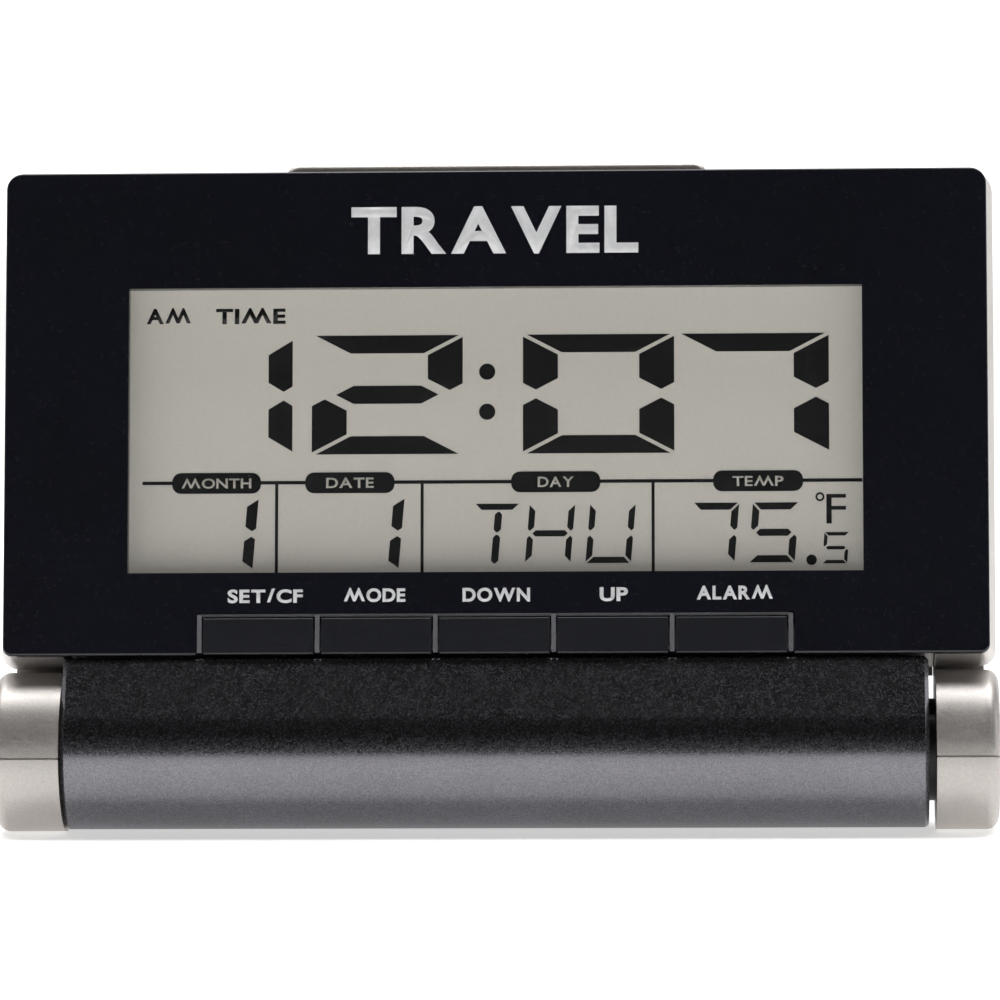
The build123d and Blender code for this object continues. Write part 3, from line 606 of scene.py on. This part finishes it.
class CLOCK_OT_finishes(ClockOperator, bpy.types.Operator):
    """Make every finish and give each CAD piece its own"""

    bl_idname = "clock.finishes"
    bl_label = "Finishes"

    def execute(self, context):
        colours = context.scene.clock_colours
        # Silver metallic paint on ABS: pale warm grey, satin, with a fine sparkle that is partly a painted
        # glint in each flake's colour.
        silver = metallic_paint("silver_metallic_paint", colours.silver, 0.7, 0.42, 0.13, 0.1, 0.1)
        # Graphite metallic paint: dark, with a painted glint in each flake's colour, and glittering where
        # light rakes over the flakes' gloss and relief.
        graphite = metallic_paint("graphite_metallic_paint", colours.graphite, 1.0, 0.22, 0.12, 0.22, 0.3)
        # Gloss ABS panel with a navy tint.
        panel = moulded_plastic("navy_gloss_abs", colours.panel, 0.22, 0.5, 0.03)
        keys = moulded_plastic("key_cap_abs", colours.keys, 0.34, 0.3, 0.12)
        # The comb is painted a mid grey in place of silver in the notch's shade.
        comb = moulded_plastic("grey_comb_abs", colours.comb, 0.4, 0.25, 0.3)
        black = moulded_plastic("black_acetal", "111113", 0.38, 0.3, 0.15)
        rubber = moulded_plastic("black_rubber", "1a1a1b", 0.7, 0.35, 0.35)
        grey_rubber = moulded_plastic("grey_silicone", "8a8a8c", 0.6, 0.3, 0.25)
        white = moulded_plastic("white_abs", "d9d8d4", 0.45, 0.4, 0.12)
        board = moulded_plastic("green_solder_mask", "1c5a33", 0.3, 0.8, 0.1)
        epoxy = moulded_plastic("black_epoxy", "0d0d0e", 0.15, 1.0, 0.2)
        ceramic = moulded_plastic("chip_ceramic", "6b5238", 0.5, 0.3, 0.15)
        led = moulded_plastic("led_epoxy", "e4dfc0", 0.15, 0.6, 0.05)
        steel = turned_metal("zinc_plated_steel", "b4b3ae", 0.32, 0.3)
        nickel = turned_metal("nickel_plated_steel", "c2bfb8", 0.24, 0.4)
        brass = turned_metal("rolled_brass", "c9a45c", 0.3, 0.4)
        ground = lcd_ground("lcd_ground", colours.display)
        pane = clear_pane("clear_acrylic")
        ink("lcd_segment", colours.segments, 0.45)
        ink("lcd_clear", shade(colours.display, 1.0), 0.5)
        ink("white_print", colours.lettering, 0.45)
        finishes = {
            silver: (
                "front_housing", "rear_housing", "left_drum_cap", "right_drum_cap", "snooze_bar", "cell_door",
            ),
            graphite: ("cover_shell",),
            panel: ("front_panel",),
            keys: ("set_key", "mode_key", "down_key", "up_key", "alarm_key"),
            comb: ("key_comb",),
            black: ("left_barrel_plug", "right_barrel_plug", "snooze_switch"),
            rubber: ("left_cover_foot", "right_cover_foot", "zebra_connector"),
            grey_rubber: ("key_pad",),
            white: ("lcd_frame",),
            board: ("circuit_board",),
            epoxy: ("controller_blob", "temperature_sensor"),
            ceramic: ("chip_components",),
            led: ("backlight_led",),
            steel: (
                "left_cap_screw", "right_cap_screw", "housing_screw_1", "housing_screw_2",
                "housing_screw_3", "housing_screw_4", "left_hinge_pin", "right_hinge_pin",
            ),
            nickel: ("coin_cell", "cell_contact", "quartz_crystal"),
            brass: ("sounder_disc",),
            ground: ("lcd_polariser", "lcd_glass"),
            pane: ("display_window", "light_guide"),
        }
        painted = set()
        for material, nodes in finishes.items():
            for node in nodes:
                paint_node(node, material)
                painted.add(node)
        left_over = set(frame["nodes"]) - painted
        if left_over:
            raise RuntimeError(f"no finish for {sorted(left_over)}")
        return {"FINISHED"}


# ---------------------------------------------------------------- studio

VIEW_X = 32.3 * MM
VIEW_Y = -682.6 * MM
VIEW_Z = 78.1 * MM
VIEW_TURN = 2.664
VIEW_DIP = -3.495
VIEW_ROLL = -0.439
VIEW_LENS = 224.65
SENSOR = 36.0
PAPER_SIZE = 6.0
BACKDROP_PLACE = (0, 2.9, 1.5)
FLOOR_GLOW = 0.58
BACKDROP_GLOW = 1.0
ROOM_LIGHT = 0.02
# Name, place and aim in metres, width and depth in metres, power in watts.
SOFTBOXES = (
    ("overhead_softbox", (0, 0.13, 0.9), (0, 0, 0.03), 1.2, 0.5, 12),
    ("right_softbox", (0.9, 0.1, 0.35), (0, 0, 0.04), 0.3, 0.5, 0.9),
    ("left_softbox", (-0.9, 0.1, 0.35), (0, 0, 0.04), 0.3, 0.5, 0.7),
)


def studio_paper(name, code, glow):
    """White seamless paper with light behind it, so that it also lights the object from below."""
    material, tree, shader, place = new_material(name, {"Roughness": 0.85, "Emission Strength": glow})
    fibre = noise(tree, place, 3.0)
    white = tint(tree, fibre, shade(code, 0.995), code)
    tree.links.new(white, shader.inputs["Base Color"])
    tree.links.new(white, shader.inputs["Emission Color"])
    return material


def area_light(name, place, aim, width, depth, power, tone="ffffff"):
    """A softbox at place that faces aim."""
    light = bpy.data.lights.new(name, "AREA")
    light.shape = "RECTANGLE"
    light.size = width
    light.size_y = depth
    light.energy = power
    light.color = linear(tone)[:3]
    lamp = bpy.data.objects.new(name, light)
    lamp.location = place
    lamp.rotation_euler = (Vector(aim) - Vector(place)).to_track_quat("-Z", "Y").to_euler()
    bpy.context.scene.collection.objects.link(lamp)
    return lamp


class CLOCK_OT_studio(ClockOperator, bpy.types.Operator):
    """Set up the pale floor, the softboxes and the camera"""

    bl_idname = "clock.studio"
    bl_label = "Studio"

    def execute(self, context):
        scene = context.scene
        deselect()
        bpy.ops.mesh.primitive_plane_add(size=PAPER_SIZE, location=(0, 0, 0))
        floor = context.object
        floor.name = "studio_floor"
        bpy.ops.object.mode_set(mode="EDIT")
        bpy.ops.mesh.subdivide(number_cuts=1)
        bpy.ops.object.mode_set(mode="OBJECT")
        floor.data.materials.append(studio_paper("studio_paper", scene.clock_colours.floor, FLOOR_GLOW))
        bpy.ops.mesh.primitive_plane_add(size=PAPER_SIZE, location=BACKDROP_PLACE, rotation=(pi / 2, 0, 0))
        backdrop = context.object
        backdrop.name = "studio_backdrop"
        bpy.ops.object.mode_set(mode="EDIT")
        bpy.ops.mesh.subdivide(number_cuts=1)
        bpy.ops.object.mode_set(mode="OBJECT")
        backdrop_paper = studio_paper("backdrop_paper", scene.clock_colours.floor, BACKDROP_GLOW)
        backdrop.data.materials.append(backdrop_paper)

        camera_data = bpy.data.cameras.new("camera")
        camera_data.lens = VIEW_LENS
        camera_data.sensor_width = SENSOR
        camera_data.clip_end = 20
        camera = bpy.data.objects.new("camera", camera_data)
        camera.location = Vector((VIEW_X, VIEW_Y + AXIS_POINT.y, VIEW_Z))
        turn = Matrix.Rotation(radians(VIEW_TURN), 3, "Z") @ Matrix.Rotation(radians(90 + VIEW_DIP), 3, "X")
        camera.rotation_euler = (turn @ Matrix.Rotation(radians(VIEW_ROLL), 3, "Z")).to_euler()
        scene.collection.objects.link(camera)
        scene.camera = camera

        for softbox in SOFTBOXES:
            area_light(*softbox)
        world = bpy.data.worlds.new("studio_world")
        world.use_nodes = True
        background = world.node_tree.nodes["Background"]
        background.inputs["Color"].default_value = linear("ffffff")
        background.inputs["Strength"].default_value = ROOM_LIGHT
        scene.world = world
        scene.view_settings.view_transform = "Standard"
        return {"FINISHED"}


class CLOCK_PT_panel(bpy.types.Panel):
    """The clock's operators and settings"""

    bl_label = "Travel alarm clock"
    bl_idname = "CLOCK_PT_panel"
    bl_space_type = "VIEW_3D"
    bl_region_type = "UI"
    bl_category = "Clock"

    def draw(self, context):
        for operator in OPERATORS:
            self.layout.operator(operator.bl_idname)
        for group in (context.scene.clock_sizes, context.scene.clock_colours):
            for name in group.bl_rna.properties.keys():
                if name not in ("rna_type", "name"):
                    self.layout.prop(group, name)


OPERATORS = (
    CLOCK_OT_studio, CLOCK_OT_finishes, CLOCK_OT_big_digits, CLOCK_OT_calendar, CLOCK_OT_tags,
    CLOCK_OT_key_words,
)
CLASSES = (ClockSizes, ClockColours) + OPERATORS + (CLOCK_PT_panel,)


def register():
    """Register the classes and attach the settings to the scene."""
    for cls in CLASSES:
        bpy.utils.register_class(cls)
    bpy.types.Scene.clock_sizes = bpy.props.PointerProperty(type=ClockSizes)
    bpy.types.Scene.clock_colours = bpy.props.PointerProperty(type=ClockColours)


def unregister():
    """Detach the settings and remove the classes."""
    del bpy.types.Scene.clock_colours
    del bpy.types.Scene.clock_sizes
    for cls in reversed(CLASSES):
        bpy.utils.unregister_class(cls)


def main():
    """Build everything."""
    register()
    bpy.ops.clock.studio()
    bpy.ops.clock.finishes()
    bpy.ops.clock.big_digits()
    bpy.ops.clock.calendar()
    bpy.ops.clock.tags()
    bpy.ops.clock.key_words()


if __name__ == "__main__":
    main()
